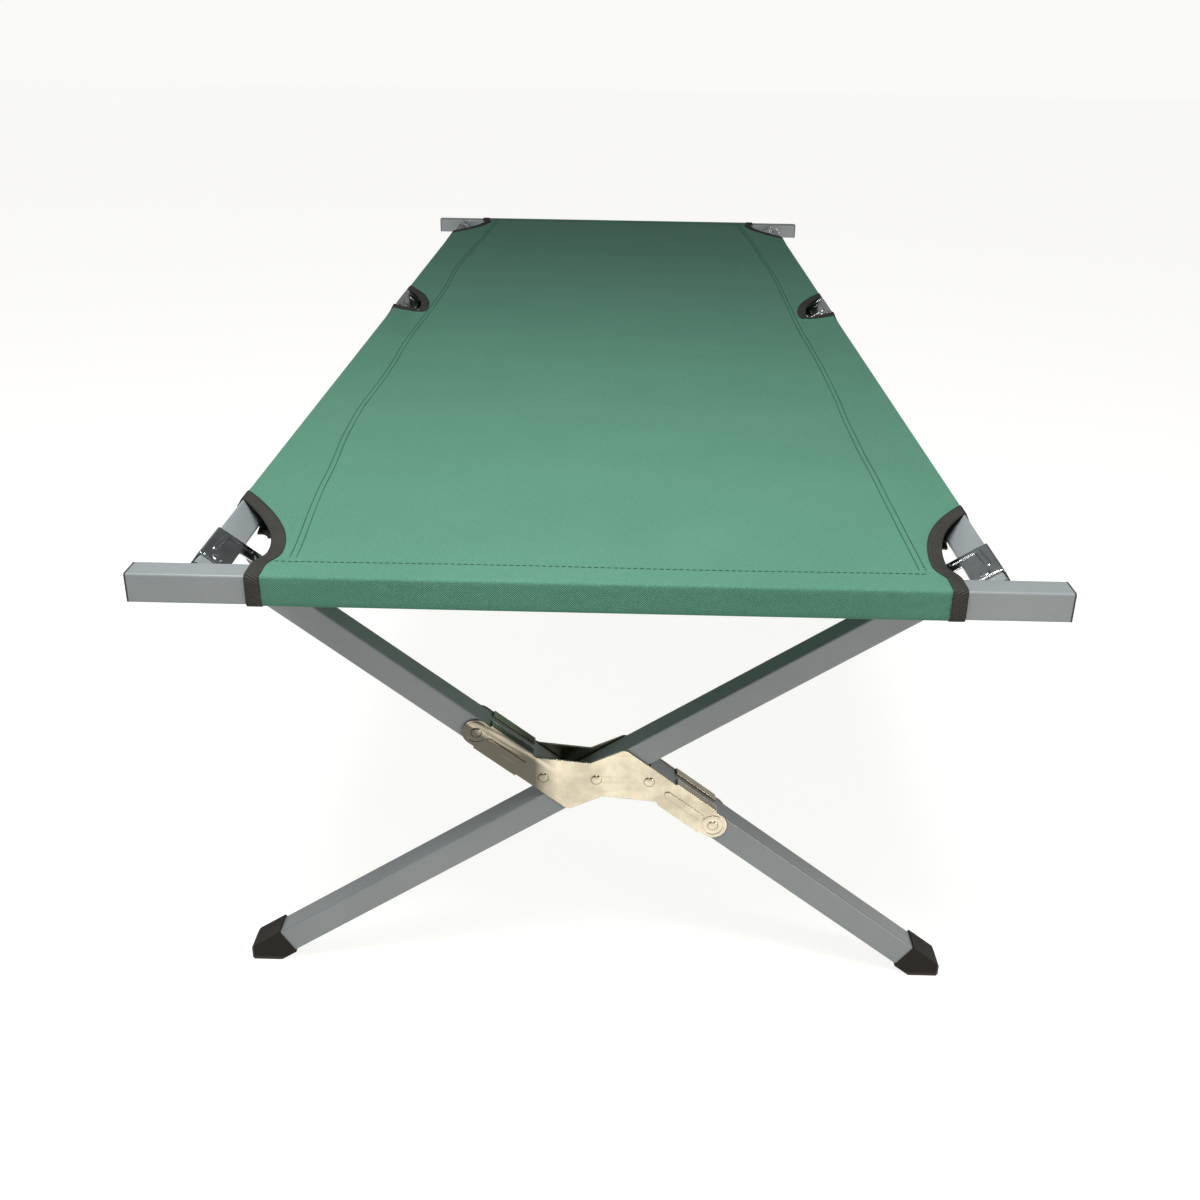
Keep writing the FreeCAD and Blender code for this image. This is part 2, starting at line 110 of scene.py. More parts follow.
def make_mottle():
    """Cloudy tone plus fine grain: two noises of Object coordinates, one coarse and one fine."""
    effect, into, out = new_effect(
        "mottle",
        [("Vector", "NodeSocketVector", None), ("Cloud", "NodeSocketFloat", 7.0),
         ("Grain", "NodeSocketFloat", 900.0)],
        [("Tone", "NodeSocketFloat"), ("Height", "NodeSocketFloat")],
    )
    cloud = add_node(effect, "ShaderNodeTexNoise",
                     {"Vector": into["Vector"], "Scale": into["Cloud"], "Detail": 4.0, "Roughness": 0.6})
    grain = add_node(effect, "ShaderNodeTexNoise",
                     {"Vector": into["Vector"], "Scale": into["Grain"], "Detail": 2.0})
    effect.links.new(cloud.outputs["Fac"], out["Tone"])
    effect.links.new(grain.outputs["Fac"], out["Height"])
    return effect


def make_scratches():
    """Fine rubbed lines: a noise stretched sixty times along one way, kept where it is highest."""
    effect, into, out = new_effect(
        "scratches",
        [("Vector", "NodeSocketVector", None), ("Scale", "NodeSocketFloat", 30.0),
         ("Cover", "NodeSocketFloat", 0.62)],
        [("Mask", "NodeSocketFloat")],
    )
    stretched = add_node(effect, "ShaderNodeMapping",
                         {"Vector": into["Vector"], "Rotation": (0.2, 0.7, 0.4), "Scale": (1, 60, 12)})
    lines = add_node(effect, "ShaderNodeTexNoise",
                     {"Vector": stretched.outputs["Vector"], "Scale": into["Scale"], "Detail": 1.0})
    kept = add_node(effect, "ShaderNodeMapRange",
                    {"Value": lines.outputs["Fac"], "From Min": into["Cover"], "From Max": 0.8})
    effect.links.new(kept.outputs["Result"], out["Mask"])
    return effect


def place_effect(tree, effect, values):
    """The outputs of a shared effect, with values for its inputs."""
    return add_node(tree, "ShaderNodeGroup", values, node_tree=effect).outputs


def blended(tree, share, low, high):
    """A colour between low and high, by share from 0 to 1. The mix's colours are its sockets 6 and 7."""
    mix = add_node(tree, "ShaderNodeMix", data_type="RGBA")
    tree.links.new(share, mix.inputs["Factor"])
    for socket, value in ((mix.inputs[6], low), (mix.inputs[7], high)):
        if isinstance(value, bpy.types.NodeSocket):
            tree.links.new(value, socket)
        else:
            socket.default_value = value
    return mix.outputs[2]


def spread_out(tree, value, from_low, from_high, low, high):
    """value mapped from one range to another and clamped."""
    ranged = add_node(tree, "ShaderNodeMapRange", {
        "Value": value, "From Min": from_low, "From Max": from_high, "To Min": low, "To Max": high})
    return ranged.outputs["Result"]


def roughened(tree, shader, tone, low, high):
    """Roughness from low to high as a noise tone goes from 0.3 to 0.7."""
    tree.links.new(spread_out(tree, tone, 0.3, 0.7, low, high), shader.inputs["Roughness"])


def bumped(tree, shader, height, distance, strength=1.0):
    """Raises the surface by height times distance, in shading only."""
    bump = add_node(tree, "ShaderNodeBump", {"Height": height, "Distance": distance, "Strength": strength})
    tree.links.new(bump.outputs["Normal"], shader.inputs["Normal"])


def placed_by_object(tree):
    """Object coordinates, in metres."""
    return add_node(tree, "ShaderNodeTexCoord").outputs["Object"]


def rounded_edges(tree, shader, height, distance, radius):
    """Rounds sheet metal edges by shading, then adds a fine bump on top."""
    edge = add_node(tree, "ShaderNodeBevel", {"Radius": radius}, samples=6).outputs["Normal"]
    bump = add_node(tree, "ShaderNodeBump", {"Height": height, "Distance": distance, "Normal": edge})
    tree.links.new(bump.outputs["Normal"], shader.inputs["Normal"])


def painted_corner_shade(tree, colour, dark, reach):
    """The colour with painted shade: it goes over to dark within reach of an inner corner, found by ambient
    occlusion.
    """
    open_share = add_node(tree, "ShaderNodeAmbientOcclusion", {"Distance": reach}, samples=8).outputs["AO"]
    return blended(tree, spread_out(tree, open_share, 0.45, 0.9, 0.0, 1.0), dark, colour)


mottle = make_mottle()
scratches = make_scratches()

paint, tree, shader = new_finish("satin_paint", Specular_IOR_Level=0.5, Coat_Weight=0.3, Coat_Roughness=0.16)
skin = place_effect(tree, mottle, {"Vector": placed_by_object(tree), "Cloud": paint_cloud, "Grain": paint_peel})
tone = spread_out(tree, skin["Tone"], 0.35, 0.65, 0.0, 1.0)
tree.links.new(blended(tree, tone, paint_colour, paint_light), shader.inputs["Base Color"])
roughened(tree, shader, skin["Tone"], 0.34, 0.44)
bumped(tree, shader, skin["Height"], 0.00012)


def wear(nodes, finish):
    """Gives the named pieces a finish of this cot's own."""
    for name in nodes:
        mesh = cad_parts[name].data
        mesh.materials.clear()
        mesh.materials.append(finish)


sides = ("right", "left")
rows = ("front", "mid", "rear")
tubes = [f"{side}_rail_{end}" for side in sides for end in ("front", "rear")]
tubes += [f"{row}_{leg}" for row in rows for leg in ("straight_leg", "cranked_leg_upper", "cranked_leg_lower")]
tubes += ["front_bar", "rear_bar"]
wear(tubes, paint)

# ---- plugs ----
# Moulded black plastic plugs close the bars' ends, and the rails' ends carry the studs that hold the bars.
# They are pushed in and held by their own spring.
plug_plastic, tree, shader = new_finish("plug_plastic", Specular_IOR_Level=0.45)
skin = place_effect(tree, mottle, {"Vector": placed_by_object(tree), "Cloud": 20.0, "Grain": 1400.0})
tree.links.new(blended(tree, skin["Tone"], (0.010, 0.010, 0.011, 1), (0.022, 0.021, 0.021, 1)),
               shader.inputs["Base Color"])
roughened(tree, shader, skin["Tone"], 0.42, 0.58)
bumped(tree, shader, skin["Height"], 0.0001)
wear([f"{side}_{end}_rail_plug" for side in sides for end in ("front", "rear")], plug_plastic)
wear(["front_bar_plugs", "rear_bar_plugs"], plug_plastic)

# ---- brackets and rivets ----
# Each bracket is 1.5 mm steel strip, pressed with stiffening ribs and folded round the rail, bright zinc plated.
# Steel rivets with low round heads go through rail, bracket and leg.
bright_zinc, tree, shader = new_finish("bright_zinc", Metallic=1.0)
place = placed_by_object(tree)
skin = place_effect(tree, mottle, {"Vector": place, "Cloud": 45.0, "Grain": 700.0})
rubbed = place_effect(tree, scratches, {"Vector": place, "Scale": 26.0, "Cover": 0.6})["Mask"]
plated = blended(tree, spread_out(tree, skin["Tone"], 0.35, 0.65, 0.0, 1.0),
                 (0.54, 0.56, 0.56, 1), (0.66, 0.68, 0.68, 1))
plated = blended(tree, spread_out(tree, rubbed, 0.0, 1.0, 0.0, 0.4), plated, (0.78, 0.79, 0.80, 1))
# painted shade: the zinc goes dark within 4 mm of inner corners, round rivet heads and folds
tree.links.new(painted_corner_shade(tree, plated, (0.16, 0.165, 0.165, 1), 0.004), shader.inputs["Base Color"])
roughened(tree, shader, skin["Tone"], 0.12, 0.22)
rounded_edges(tree, shader, skin["Tone"], 0.0003, 0.0012)
brackets = [f"{side}_{row}_bracket" for side in sides for row in rows]
wear(brackets, bright_zinc)
wear([f"{side}_{row}_leg_pivot" for side in sides for row in rows], bright_zinc)
wear([f"{side}_bracket_rivets" for side in sides], bright_zinc)

# ---- cross plates ----
# A pair of cranked plates clamps each crossing. They are pressed from 1.5 mm strip with a rib in each wing
# and a flange along its edges, and zinc plated in a pale straw colour. Dark streaks along one wing are
# painted reflection, standing in for the darker surroundings that wing mirrors, and inner corners get painted shade.
wing_slope = 33.0
straw_zinc, tree, shader = new_finish("straw_zinc", Metallic=1.0)
place = placed_by_object(tree)
skin = place_effect(tree, mottle, {"Vector": place, "Cloud": 28.0, "Grain": 500.0})
rubbed = place_effect(tree, scratches, {"Vector": place, "Scale": 18.0, "Cover": 0.64})["Mask"]
plated = blended(tree, spread_out(tree, skin["Tone"], 0.38, 0.62, 0.0, 1.0),
                 (0.50, 0.45, 0.335, 1), (0.74, 0.66, 0.50, 1))
plated = blended(tree, spread_out(tree, rubbed, 0.0, 1.0, 0.0, 0.5), plated, (0.36, 0.33, 0.25, 1))
# painted reflection: noisy dark streaks along the left wing, on plates and rivets alike, stand in for the darker
# surroundings it mirrors
along_wing = add_node(tree, "ShaderNodeMapping", {
    "Vector": place, "Rotation": (0, math.radians(wing_slope), 0), "Scale": (0.13, 0.1, 0.010)},
    vector_type="TEXTURE")
streak = add_node(tree, "ShaderNodeTexNoise", {"Vector": along_wing.outputs["Vector"], "Scale": 1.0, "Detail": 2.0})
on_wing = spread_out(tree, add_node(tree, "ShaderNodeSeparateXYZ", {"Vector": place}).outputs["X"],
                     -0.035, -0.055, 0.0, 1.0)
wing_reflection = spread_out(tree, streak.outputs["Fac"], 0.34, 0.50, 0.0, 0.95)
wing_reflection = add_node(tree, "ShaderNodeMath", {0: wing_reflection, 1: on_wing}, operation="MULTIPLY").outputs[0]
# the painted reflection streaks are mixed into the plating colour here
plated = blended(tree, wing_reflection, plated, (0.085, 0.080, 0.062, 1))
# painted shade: the straw zinc goes dark within 5 mm of inner corners and round rivet heads
tree.links.new(painted_corner_shade(tree, plated, (0.15, 0.13, 0.095, 1), 0.005), shader.inputs["Base Color"])
roughened(tree, shader, skin["Tone"], 0.16, 0.27)
rounded_edges(tree, shader, skin["Tone"], 0.0003, 0.0012)
wear([f"{row}_cross_plate_{face}" for row in rows for face in ("front", "back")], straw_zinc)
wear([f"{row}_{kind}" for row in rows for kind in ("centre_rivet", "plate_rivets")], straw_zinc)

# ---- feet ----
# Moulded dark brown plastic shoes are pushed over the lower ends of the legs.
# Their sole is flat on the floor and scuffed paler than the rest.
foot_plastic, tree, shader = new_finish("foot_plastic", Specular_IOR_Level=0.10)
place = placed_by_object(tree)
skin = place_effect(tree, mottle, {"Vector": place, "Cloud": 60.0, "Grain": 1300.0})
height = add_node(tree, "ShaderNodeSeparateXYZ", {"Vector": place}).outputs["Z"]
scuffed = spread_out(tree, height, 0.0, 0.004, 0.5, 0.0)
moulded = blended(tree, skin["Tone"], (0.010, 0.008, 0.006, 1), (0.022, 0.017, 0.013, 1))
tree.links.new(blended(tree, scuffed, moulded, (0.09, 0.08, 0.07, 1)), shader.inputs["Base Color"])
roughened(tree, shader, skin["Tone"], 0.45, 0.62)
bumped(tree, shader, skin["Height"], 0.00015)
wear([f"{side}_{row}_foot" for side in sides for row in rows], foot_plastic)

# ---- cloth cover ----
# One piece of green canvas, stretched flat. Its long sides are turned under round the rails and its ends
# round the bars, and sewn down as sleeves. It is cut away at the four corners and the two middle brackets.
tube = 0.025
tube_corner = 0.002
canvas = 0.0006
canvas_play = 0.0003
rail_roll = {1: math.radians(33.0), -1: math.radians(37.208)}
rail_low, rail_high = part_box("right_rail_front")
rail_x = (rail_low.x + rail_high.x) / 2
rail_z = (rail_low.z + rail_high.z) / 2
bar_low, bar_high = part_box("rear_bar")
bar_y = (bar_low.y + bar_high.y) / 2
bar_z = (bar_low.z + bar_high.z) / 2
wrap = tube / 2 + canvas_play + canvas / 2  # middle of the canvas from a tube's centre line
wrap_corner = tube_corner + canvas_play + canvas / 2
hem_drop = 0.0011  # turned-under canvas below the panel
side_hem = 0.061  # width of the turned-under canvas inside the rail's centre line
side_seam = 0.272  # where it meets the panel
end_hem = 0.040

corner_start = 0.745  # where a corner cutout leaves the rail
corner_neck = 0.907
corner_neck_x = 0.2735
corner_bar = 0.927
corner_bar_x = 0.2805
end_tuck = 0.016  # the turned-under end is cut this much narrower
corner_lean = 0.0055  # the cover lies this far to the right at its front end
mid_start, mid_deep, mid_end = 0.014, 0.045, 0.228
mid_deep_x = 0.2835
mid_slant = 0.050  # how much later the cutout starts on the rail than beside it
mid_curl = 0.0036  # how far its near edge stands up
corner_power = 1.9  # how a cutout's edge curves between the rail and its deepest point
near_power, far_power = 7.0, 1.85  # the same for the two halves of a middle cutout
cut_reach = rail_x + 0.0165  # where the cutouts' curves meet the sleeve's outer edge
corner_slip = 0.100  # how far the turned-under flap is cut back at a corner, at most
mid_flap_end = 0.172  # where it ends at a middle cutout's far side
sag = 0.0018
ripple_height = 0.0005


def rounded_line(corners, radii, arc_steps=5, step=0.004):
    """A line through corner points, each inner corner rounded by its radius.

    The arc touches both runs at radius * tan(turn / 2) from the corner. Runs are divided by step.
    """
    corners = [np.array(c, float) for c in corners]
    out = [corners[0]]
    for before, here, after, radius in zip(corners, corners[1:], corners[2:], radii):
        one = (here - before) / np.linalg.norm(here - before)
        two = (after - here) / np.linalg.norm(after - here)
        angle = math.acos(max(-1, min(1, one @ two)))
        cut = radius * math.tan(angle / 2)
        start = here - one * cut
        run = np.linalg.norm(start - out[-1])
        share = np.linspace(0, 1, max(2, math.ceil(run / step) + 1))[1:, None]
        out.extend(out[-1] + (start - out[-1]) * share)
        side = two - one * (one @ two)
        side = side / np.linalg.norm(side)
        swing = np.linspace(0, angle, arc_steps + 1)[1:, None]
        out.extend(start + radius * (np.sin(swing) * one + (1 - np.cos(swing)) * side))
    share = np.linspace(0, 1, max(2, math.ceil(np.linalg.norm(corners[-1] - out[-1]) / step) + 1))[1:, None]
    out.extend(out[-1] + (corners[-1] - out[-1]) * share)
    return np.array(out)


def sleeve_line(centre, roll, inner, hem, seam=None):
    """The canvas in section, from the panel over a tube, round it and back under the panel.

    The tube's faces are turned by roll. The first run is level and touches the tube's upper corner.
    The last one goes straight to the seam, or up the tube's inner face where no seam is given.
    """
    out = np.array([math.cos(roll), math.sin(roll)])
    over = np.array([-math.sin(roll), math.cos(roll)])
    core = tube / 2 - tube_corner
    top = centre[1] + core * (out[1] + over[1]) + wrap_corner
    first = np.array(centre) + wrap * out
    crest = first + over * ((top - first[1]) / over[1]) if roll > 0.01 else np.array([centre[0] + wrap, top])
    lower = np.array(centre) + wrap * (out - over)
    inmost = np.array(centre) - wrap * (out + over)
    rise = (top - hem_drop - inmost[1]) / over[1]
    joined = inmost + over * rise if seam is None else np.array([seam, top - hem_drop])
    line = [(inner, top), crest, lower, inmost, joined, (centre[0] - hem, top - hem_drop)]
    return rounded_line(line, [wrap_corner, wrap_corner, wrap_corner, 0.0015]), top


panel_reach = rail_x - 0.028
side_lines = {}
for side in (1, -1):
    line, top = sleeve_line((rail_x, rail_z), rail_roll[side], panel_reach, side_hem, side_seam)
    length = panel_reach + np.concatenate([[0], np.cumsum(np.linalg.norm(np.diff(line, axis=0), axis=1))])
    widest = int(np.argmax(line[:, 0]))
    side_lines[side] = {"s": length, "x": line[:, 0], "drop": line[:, 1] - top, "top": top, "edge": length[widest]}
end_reach = 0.890
line, end_top = sleeve_line((bar_y, bar_z), 0.0, end_reach, end_hem)
end_s = end_reach + np.concatenate([[0], np.cumsum(np.linalg.norm(np.diff(line, axis=0), axis=1))])
end_line = {"s": end_s, "y": line[:, 0], "drop": line[:, 1] - end_top}


def smooth(value, low, high):
    """0 below low, 1 above high, and an S-curve between."""
    share = np.clip((value - low) / (high - low), 0, 1)
    return share * share * (3 - 2 * share)


def on_cover(s, t):
    """Where a point of the flat canvas lies, s across and t along it from the middle, in metres.

    Across, s follows the section round the rails; along, t follows the section round the bars.
    The panel runs from the rails' tops up to the bars' tops, and sags and ripples slightly.
    """
    s, t = np.broadcast_arrays(np.asarray(s, float), np.asarray(t, float))
    right, left = side_lines[1], side_lines[-1]
    over = np.abs(s)
    x = np.where(s >= 0, np.interp(over, right["s"], right["x"]), -np.interp(over, left["s"], left["x"]))
    x = np.where(over < panel_reach, s, x)
    drop = np.where(s >= 0, np.interp(over, right["s"], right["drop"]), np.interp(over, left["s"], left["drop"]))
    drop = np.where(over < panel_reach, 0, drop)
    along = np.abs(t)
    y = np.where(along < end_reach, along, np.interp(along, end_line["s"], end_line["y"])) * np.sign(t)
    # the turned-under flap is cut back along the cutouts' curves
    out = np.clip((np.abs(x) - corner_neck_x) / (cut_reach - corner_neck_x), 0, 1)
    under = smooth(over, right["edge"] + 0.020, right["edge"] + 0.034)
    slip = np.minimum((corner_neck - corner_start) * (1 - out ** (1 / corner_power)), corner_slip)
    y = y + np.sign(t) * slip * under * smooth(along, 0.55, corner_start)
    slip = np.minimum((mid_end - mid_deep) * (1 - out ** (1 / far_power)), mid_end - mid_flap_end)
    y = y - slip * under * smooth(t, mid_end - 0.02, mid_end) * (1 - smooth(t, mid_end, 0.36))
    # the near edge of a middle cutout slants on the rail
    slant = np.clip((np.abs(x) - 0.287) / 0.046, 0, 1) * smooth(t, -0.15, mid_start)
    slant = slant * (1 - smooth(t, mid_start + 0.01, 0.16))
    y = y + mid_slant * slant
    fall = np.where(along < end_reach, 0, np.interp(along, end_line["s"], end_line["drop"]))
    level = left["top"] + (right["top"] - left["top"]) * np.clip(s / (2 * rail_x) + 0.5, 0, 1)
    at_end = smooth(along, 0.74, 0.925)
    # slack in the panel, and small creases beside the rails
    free = (1 - smooth(over, 0.12, panel_reach)) * (1 - smooth(along, 0.70, 0.915))
    ripple = 0.5 * np.sin(9.0 * t + 5.0 * s) + 0.3 * np.sin(21.0 * t - 14.0 * s + 1.0)
    ripple = ripple + 0.2 * np.sin(31.0 * s + 4 * t)
    pull = smooth(over, 0.20, 0.27) * (1 - smooth(over, 0.285, panel_reach)) * smooth(along, 0.25, 0.5)
    pull = pull * (1 - smooth(along, 0.72, 0.80))
    z = level + (end_top - level) * at_end - sag * free * (1 - (t / 0.95) ** 2)
    z = z + ripple_height * (free * ripple + pull * np.sin(46.0 * t + 30.0 * s))
    # the near edge of a middle cutout curls up
    curl = np.clip((t - mid_start) / 0.014 + 1, 0, 1) ** 1.3 * (1 - smooth(t, mid_start + 0.001, mid_start + 0.012))
    z = z + mid_curl * curl * smooth(over, 0.274, 0.292) * (1 - smooth(over, 0.322, 0.336))
    return np.stack([x, y, z + drop + fall], axis=-1)


def square_to(s, t):
    """The way out of the canvas at a point: the cross product of its slopes across and along."""
    small = 0.0002
    across = on_cover(s + small, t) - on_cover(s - small, t)
    along = on_cover(s, t + small) - on_cover(s, t - small)
    out = np.cross(across, along)
    return out / np.maximum(np.linalg.norm(out, axis=-1, keepdims=True), 1e-12)


def cut_edge(side, t, edge):
    """Half width of the canvas at t where it is cut away: it curves in from the rail and back.

    Each edge goes in by a power of what is left to its deepest point. A corner's then goes out a little
    to the bar.
    """
    t = np.asarray(t, float)
    depth = edge - corner_neck_x
    left_to_neck = np.clip((corner_neck - np.abs(t)) / (corner_neck - corner_start), 0, 1)
    corner = corner_neck_x + depth * left_to_neck ** corner_power
    corner = corner + (corner_bar_x - corner_neck_x) * smooth(np.abs(t), corner_neck - 0.002, corner_bar)
    corner = corner + side * corner_lean * smooth(-t, 0.79, 0.90)
    corner = corner - end_tuck * smooth(np.abs(t), end_line["s"][-1] - 0.06, end_line["s"][-1] - 0.035)
    away = np.where(t < mid_deep, (mid_deep - t) / (mid_deep - mid_start), (t - mid_deep) / (mid_end - mid_deep))
    power = np.where(t < mid_deep, near_power, far_power)
    middle = mid_deep_x + (edge - mid_deep_x) * np.clip(away, 0, 1) ** power
    return np.where(np.abs(t) > corner_start, corner, np.where((t > mid_start) & (t < mid_end), middle, edge))


def stepped(*stops):
    """Numbers through the stops, given as value, step, value, step, ..., value."""
    out = [stops[0]]
    for low, step, high in zip(stops[0::2], stops[1::2], stops[2::2]):
        out += list(np.linspace(low, high, max(1, round((high - low) / step)) + 1)[1:])
    return out


panel_columns = stepped(0.0, 0.012, 0.24, 0.007, panel_reach)
right_columns = panel_columns + list(side_lines[1]["s"][1:])
left_columns = panel_columns + list(side_lines[-1]["s"][1:])
columns = np.array([-v for v in left_columns[:0:-1]] + right_columns)
half_rows = stepped(mid_end, 0.012, 0.70, 0.009, corner_start, 0.003, 0.770, 0.006, corner_neck - 0.02)
end_rows = [v for v in end_line["s"] if v > half_rows[-1] + 0.002]
rear_rows = stepped(0.0, 0.0035, mid_start, 0.0015, 0.026, 0.004, 0.206, 0.003, mid_end) + half_rows[1:] + end_rows
front_rows = stepped(0.0, 0.012, mid_end) + half_rows[1:] + end_rows
rows_along = np.array([-v for v in front_rows[:0:-1]] + rear_rows)

edge_right, edge_left = side_lines[1]["edge"], side_lines[-1]["edge"]
column_edge = np.where(columns >= 0, edge_right, edge_left)
inner_columns = np.abs(columns) <= column_edge + 1e-6
in_cut = (np.abs(rows_along) > corner_start + 1e-6)
in_cut |= (rows_along > mid_start + 1e-6) & (rows_along < mid_end - 1e-6)
spread_s, spread_t = np.meshgrid(columns, rows_along, indexing="ij")
shrink = cut_edge(np.sign(columns)[:, None], spread_t, column_edge[:, None]) / column_edge[:, None]
spread_s = np.where(inner_columns[:, None], spread_s * shrink, spread_s)
used = inner_columns[:, None] | ~in_cut[None, :]


def grid_faces(count_u, count_v):
    """Four-cornered faces of a grid of points, u first, turned so that they face out of the grid."""
    u, v = np.meshgrid(np.arange(count_u - 1), np.arange(count_v - 1), indexing="ij")
    first = (u * count_v + v).ravel()
    return np.stack([first, first + count_v, first + count_v + 1, first + 1], axis=1)


def mesh_piece(name, points, faces, finish):
    """A smooth-shaded mesh object from points and faces."""
    mesh = bpy.data.meshes.new(name)
    mesh.from_pydata(points, [], faces)
    mesh.polygons.foreach_set("use_smooth", [True] * len(mesh.polygons))
    mesh.materials.append(finish)
    mesh.update()
    piece = bpy.data.objects.new(name, mesh)
    bpy.context.scene.collection.objects.link(piece)
    return piece


def cloth_piece(name, points, faces, finish, uv, thick):
    """A sheet from arrays of points and faces, with a UV value for each point, made thick to both sides."""
    kept = np.unique(faces)
    renumber = np.zeros(len(points), int)
    renumber[kept] = np.arange(len(kept))
    piece = mesh_piece(name, points[kept], renumber[faces].tolist(), finish)
    layer = piece.data.uv_layers.new(name="weave")
    corners = np.zeros(len(piece.data.loops), np.int32)
    piece.data.loops.foreach_get("vertex_index", corners)
    layer.data.foreach_set("uv", uv[kept][corners].astype(np.float32).ravel())
    thickness = piece.modifiers.new("thickness", "SOLIDIFY")
    thickness.thickness = thick
    thickness.offset = 0
    return piece


def make_weave():
    """A woven surface from flat canvas coordinates in metres: diagonal ribs crossed by the threads.

    Height is the sum of two sets of sine ribs: one along s + t, and a set a quarter as high that rises and falls
    along t at twice the rate.
    """
    effect, into, out = new_effect(
        "weave",
        [("Flat", "NodeSocketVector", None), ("Pitch", "NodeSocketFloat", 1200.0)],
        [("Height", "NodeSocketFloat"), ("Slub", "NodeSocketFloat")],
    )
    scaled = add_node(effect, "ShaderNodeVectorMath", {0: into["Flat"]}, operation="SCALE")
    effect.links.new(into["Pitch"], scaled.inputs["Scale"])
    parts = add_node(effect, "ShaderNodeSeparateXYZ", {"Vector": scaled.outputs["Vector"]})
    diagonal = add_node(effect, "ShaderNodeMath", {0: parts.outputs["X"], 1: parts.outputs["Y"]}, operation="ADD")
    warp = add_node(effect, "ShaderNodeMath", {0: diagonal.outputs[0]}, operation="SINE")
    doubled = add_node(effect, "ShaderNodeMath", {0: parts.outputs["Y"], 1: 2.0}, operation="MULTIPLY")
    weft = add_node(effect, "ShaderNodeMath", {0: doubled.outputs[0]}, operation="SINE")
    lower = add_node(effect, "ShaderNodeMath", {0: weft.outputs[0], 1: 0.25}, operation="MULTIPLY")
    woven = add_node(effect, "ShaderNodeMath", {0: warp.outputs[0], 1: lower.outputs[0]}, operation="ADD")
    threads = add_node(effect, "ShaderNodeMapping", {"Vector": into["Flat"], "Scale": (420, 150, 1)})
    slub = add_node(effect, "ShaderNodeTexNoise", {"Vector": threads.outputs["Vector"], "Scale": 1.0, "Detail": 2.0})
    effect.links.new(woven.outputs[0], out["Height"])
    effect.links.new(slub.outputs["Fac"], out["Slub"])
    return effect


weave = make_weave()
canvas_rib = 0.0019
canvas_green, tree, shader = new_finish(
    "green_canvas", Specular_IOR_Level=0.06, Sheen_Weight=0.03, Sheen_Roughness=0.5)
flat = add_node(tree, "ShaderNodeUVMap", uv_map="weave").outputs["UV"]
woven = place_effect(tree, weave, {"Flat": flat, "Pitch": 2 * math.pi / canvas_rib})
skin = place_effect(tree, mottle, {"Vector": placed_by_object(tree), "Cloud": 9.0, "Grain": 260.0})
dyed = blended(tree, spread_out(tree, skin["Tone"], 0.32, 0.68, 0.0, 1.0),
               (0.076, 0.202, 0.136, 1), (0.087, 0.222, 0.152, 1))
thread_tone = spread_out(tree, woven["Slub"], 0.40, 0.75, 0.0, 0.30)
dyed = blended(tree, thread_tone, dyed, (0.140, 0.260, 0.200, 1))
crossing = spread_out(tree, woven["Height"], -1.0, 1.0, 0.88, 0.0)
tree.links.new(blended(tree, crossing, dyed, (0.020, 0.075, 0.048, 1)), shader.inputs["Base Color"])
roughened(tree, shader, skin["Height"], 0.74, 0.90)
creased = place_effect(tree, mottle, {"Vector": placed_by_object(tree), "Cloud": 42.0, "Grain": 90.0})
soft = add_node(tree, "ShaderNodeBump", {"Height": creased["Tone"], "Distance": 0.0025, "Strength": 0.6})
fine = add_node(tree, "ShaderNodeBump",
                {"Height": woven["Height"], "Distance": 0.00012, "Normal": soft.outputs["Normal"]})
tree.links.new(fine.outputs["Normal"], shader.inputs["Normal"])

count_t = len(rows_along)
faces = grid_faces(len(columns), count_t)
whole = used.ravel()[faces].all(axis=1)
row_number = faces % count_t
middle_t = rows_along[row_number].mean(axis=1)
column_number = faces // count_t
past_edge = ~inner_columns[column_number].all(axis=1)
in_hole = (np.abs(middle_t) > corner_start) | ((middle_t > mid_start) & (middle_t < mid_end))
faces = faces[whole & ~(past_edge & in_hole)]
flat_points = np.stack([spread_s.ravel(), spread_t.ravel()], axis=1)
cover_points = on_cover(flat_points[:, 0], flat_points[:, 1])
cover = cloth_piece("cover_canvas", cover_points, faces, canvas_green, flat_points, canvas)

# ---- bindings ----
# Black webbing tape, folded over each cut edge of the canvas and sewn through. It runs round the mouth
# of the rail's sleeve, along the cutout and round the mouth of the next sleeve.
tape_width = 0.0115
tape_thick = 0.0009
tape_lift = canvas / 2 + tape_thick / 2
tape_over = 0.0005  # how far its fold stands beyond the canvas's edge
tape_rib = 0.0021

webbing, tree, shader = new_finish("black_webbing", Specular_IOR_Level=0.2)
flat = add_node(tree, "ShaderNodeUVMap", uv_map="weave").outputs["UV"]
woven = place_effect(tree, weave, {"Flat": flat, "Pitch": 2 * math.pi / tape_rib})
skin = place_effect(tree, mottle, {"Vector": placed_by_object(tree), "Cloud": 60.0, "Grain": 900.0})
dark = blended(tree, skin["Tone"], (0.012, 0.012, 0.010, 1), (0.026, 0.025, 0.021, 1))
tree.links.new(blended(tree, spread_out(tree, woven["Height"], 0.4, 1.5, 0.0, 0.55), dark, (0.060, 0.056, 0.047, 1)),
               shader.inputs["Base Color"])
roughened(tree, shader, skin["Height"], 0.62, 0.80)
bumped(tree, shader, woven["Height"], 0.0003, 0.9)


